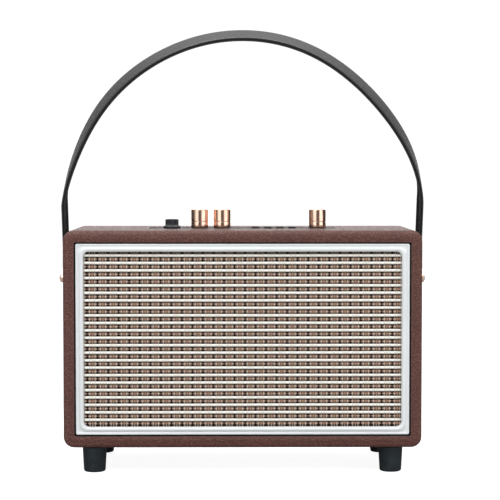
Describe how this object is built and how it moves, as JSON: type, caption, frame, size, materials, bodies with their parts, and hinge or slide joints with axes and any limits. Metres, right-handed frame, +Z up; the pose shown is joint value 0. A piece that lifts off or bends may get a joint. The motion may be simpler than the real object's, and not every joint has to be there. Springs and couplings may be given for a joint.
{
  "type": "portable radio",
  "caption": "Portable radio in a leather-wrapped cabinet: woven grille in a silver bezel, copper knobs and small buttons on top, rubber feet, strap handle that swings over it.",
  "frame": {"origin": "on the ground, under the middle of the whole object's box as it stands with the handle leaned forward; the cabinet's mid-depth lies 7.2 mm behind it", "axes": "+X to the radio's right as its front is seen, -Y out of the front, +Z up"},
  "size_m": [0.3174, 0.1444, 0.3698],
  "materials": {
    "leather": "dark brown pebbled leatherette, satin",
    "strap_leather": "black strap leather with a fine cross grain, satin",
    "wood": "raw fibreboard",
    "black_board": "painted fibreboard, matte black",
    "grille_cloth": "woven, cream cords over tan and dark brown yarn",
    "satin_silver": "satin silver-white",
    "copper": "polished rose copper",
    "black_plastic": "matte black",
    "black_metal": "satin black",
    "steel": "plain plated",
    "ferrite": "dark grey sintered",
    "paper_cone": "black pressed paper",
    "rubber": "matte black",
    "circuit_board": "green solder mask",
    "battery_wrap": "blue shrink wrap"
  },
  "bodies": {
    "cabinet": {"leather_wrap": "leather", "cabinet_shell": "wood", "baffle_board": "black_board", "grille_frame": "black_board", "rear_panel": "black_board", "grille_cloth": "grille_cloth", "front_bezel": "satin_silver", "handle_stud_left": "copper", "handle_stud_right": "copper", "microphone_jack_body": "black_plastic", "microphone_jack_nut": "black_plastic", "bass_port_tube": "black_plastic", "rocker_switch_frame": "black_plastic", "dc_socket": "black_plastic", "control_plate": "black_metal", "connector_plate": "black_metal", "speaker_basket_left": "black_metal", "speaker_basket_right": "black_metal", "volume_control": "steel", "tone_control": "steel", "tuning_control": "steel", "aux_socket": "steel", "usb_socket": "steel", "battery_bracket": "steel", "rear_panel_screw_1": "steel", "rear_panel_screw_2": "steel", "rear_panel_screw_3": "steel", "rear_panel_screw_4": "steel", "rear_panel_screw_5": "steel", "rear_panel_screw_6": "steel", "foot_screw_front_left": "steel", "foot_screw_front_right": "steel", "foot_screw_rear_left": "steel", "foot_screw_rear_right": "steel", "speaker_magnet_left": "ferrite", "speaker_magnet_right": "ferrite", "ferrite_rod_antenna": "ferrite", "speaker_surround_left": "rubber", "speaker_surround_right": "rubber", "foot_front_left": "rubber", "foot_front_right": "rubber", "foot_rear_left": "rubber", "foot_rear_right": "rubber", "main_board": "circuit_board", "control_board": "circuit_board", "battery_pack": "battery_wrap"},
    "handle": {"handle_strap": "strap_leather"},
    "volume_dial": {"volume_knob": "copper", "volume_shaft": "steel"},
    "tone_dial": {"tone_knob": "copper", "tone_shaft": "steel"},
    "tuning_dial": {"tuning_knob": "copper", "tuning_shaft": "steel"},
    "mode_button": {"mode_button": "black_metal"},
    "previous_button": {"previous_button": "black_metal"},
    "play_button": {"play_button": "black_metal"},
    "next_button": {"next_button": "black_metal"},
    "power_rocker": {"power_rocker": "black_plastic"},
    "left_cone": {"speaker_cone_left": "paper_cone"},
    "right_cone": {"speaker_cone_right": "paper_cone"}
  },
  "joints": [
    {"name": "handle_swing", "type": "hinge", "parent": "cabinet", "child": "handle", "pos_m": [0, 0.0072, 0.1595], "axis": [1, 0, 0], "range_deg": [-108, 72]},
    {"name": "volume_turn", "type": "hinge", "parent": "cabinet", "child": "volume_dial", "pos_m": [-0.037, 0.0072, 0.2033], "axis": [0, 0, 1], "range_deg": [-150, 150]},
    {"name": "tone_turn", "type": "hinge", "parent": "cabinet", "child": "tone_dial", "pos_m": [-0.0175, 0.0072, 0.2033], "axis": [0, 0, 1], "range_deg": [-150, 150]},
    {"name": "tuning_turn", "type": "hinge", "parent": "cabinet", "child": "tuning_dial", "pos_m": [0.065, 0.0072, 0.2033], "axis": [0, 0, 1], "continuous": true},
    {"name": "mode_press", "type": "slide", "parent": "cabinet", "child": "mode_button", "axis": [0, 0, -1], "range_m": [0, 0.001], "stiffness_N_per_m": 300},
    {"name": "previous_press", "type": "slide", "parent": "cabinet", "child": "previous_button", "axis": [0, 0, -1], "range_m": [0, 0.001], "stiffness_N_per_m": 300},
    {"name": "play_press", "type": "slide", "parent": "cabinet", "child": "play_button", "axis": [0, 0, -1], "range_m": [0, 0.001], "stiffness_N_per_m": 300},
    {"name": "next_press", "type": "slide", "parent": "cabinet", "child": "next_button", "axis": [0, 0, -1], "range_m": [0, 0.001], "stiffness_N_per_m": 300},
    {"name": "power_switch", "type": "hinge", "parent": "cabinet", "child": "power_rocker", "pos_m": [0.028, 0.0647, 0.0832], "axis": [1, 0, 0], "range_deg": [0, 18]},
    {"name": "left_cone_travel", "type": "slide", "parent": "cabinet", "child": "left_cone", "axis": [0, -1, 0], "range_m": [-0.0015, 0.0015], "stiffness_N_per_m": 1500},
    {"name": "right_cone_travel", "type": "slide", "parent": "cabinet", "child": "right_cone", "axis": [0, -1, 0], "range_m": [-0.0015, 0.0015], "stiffness_N_per_m": 1500}
  ]
}
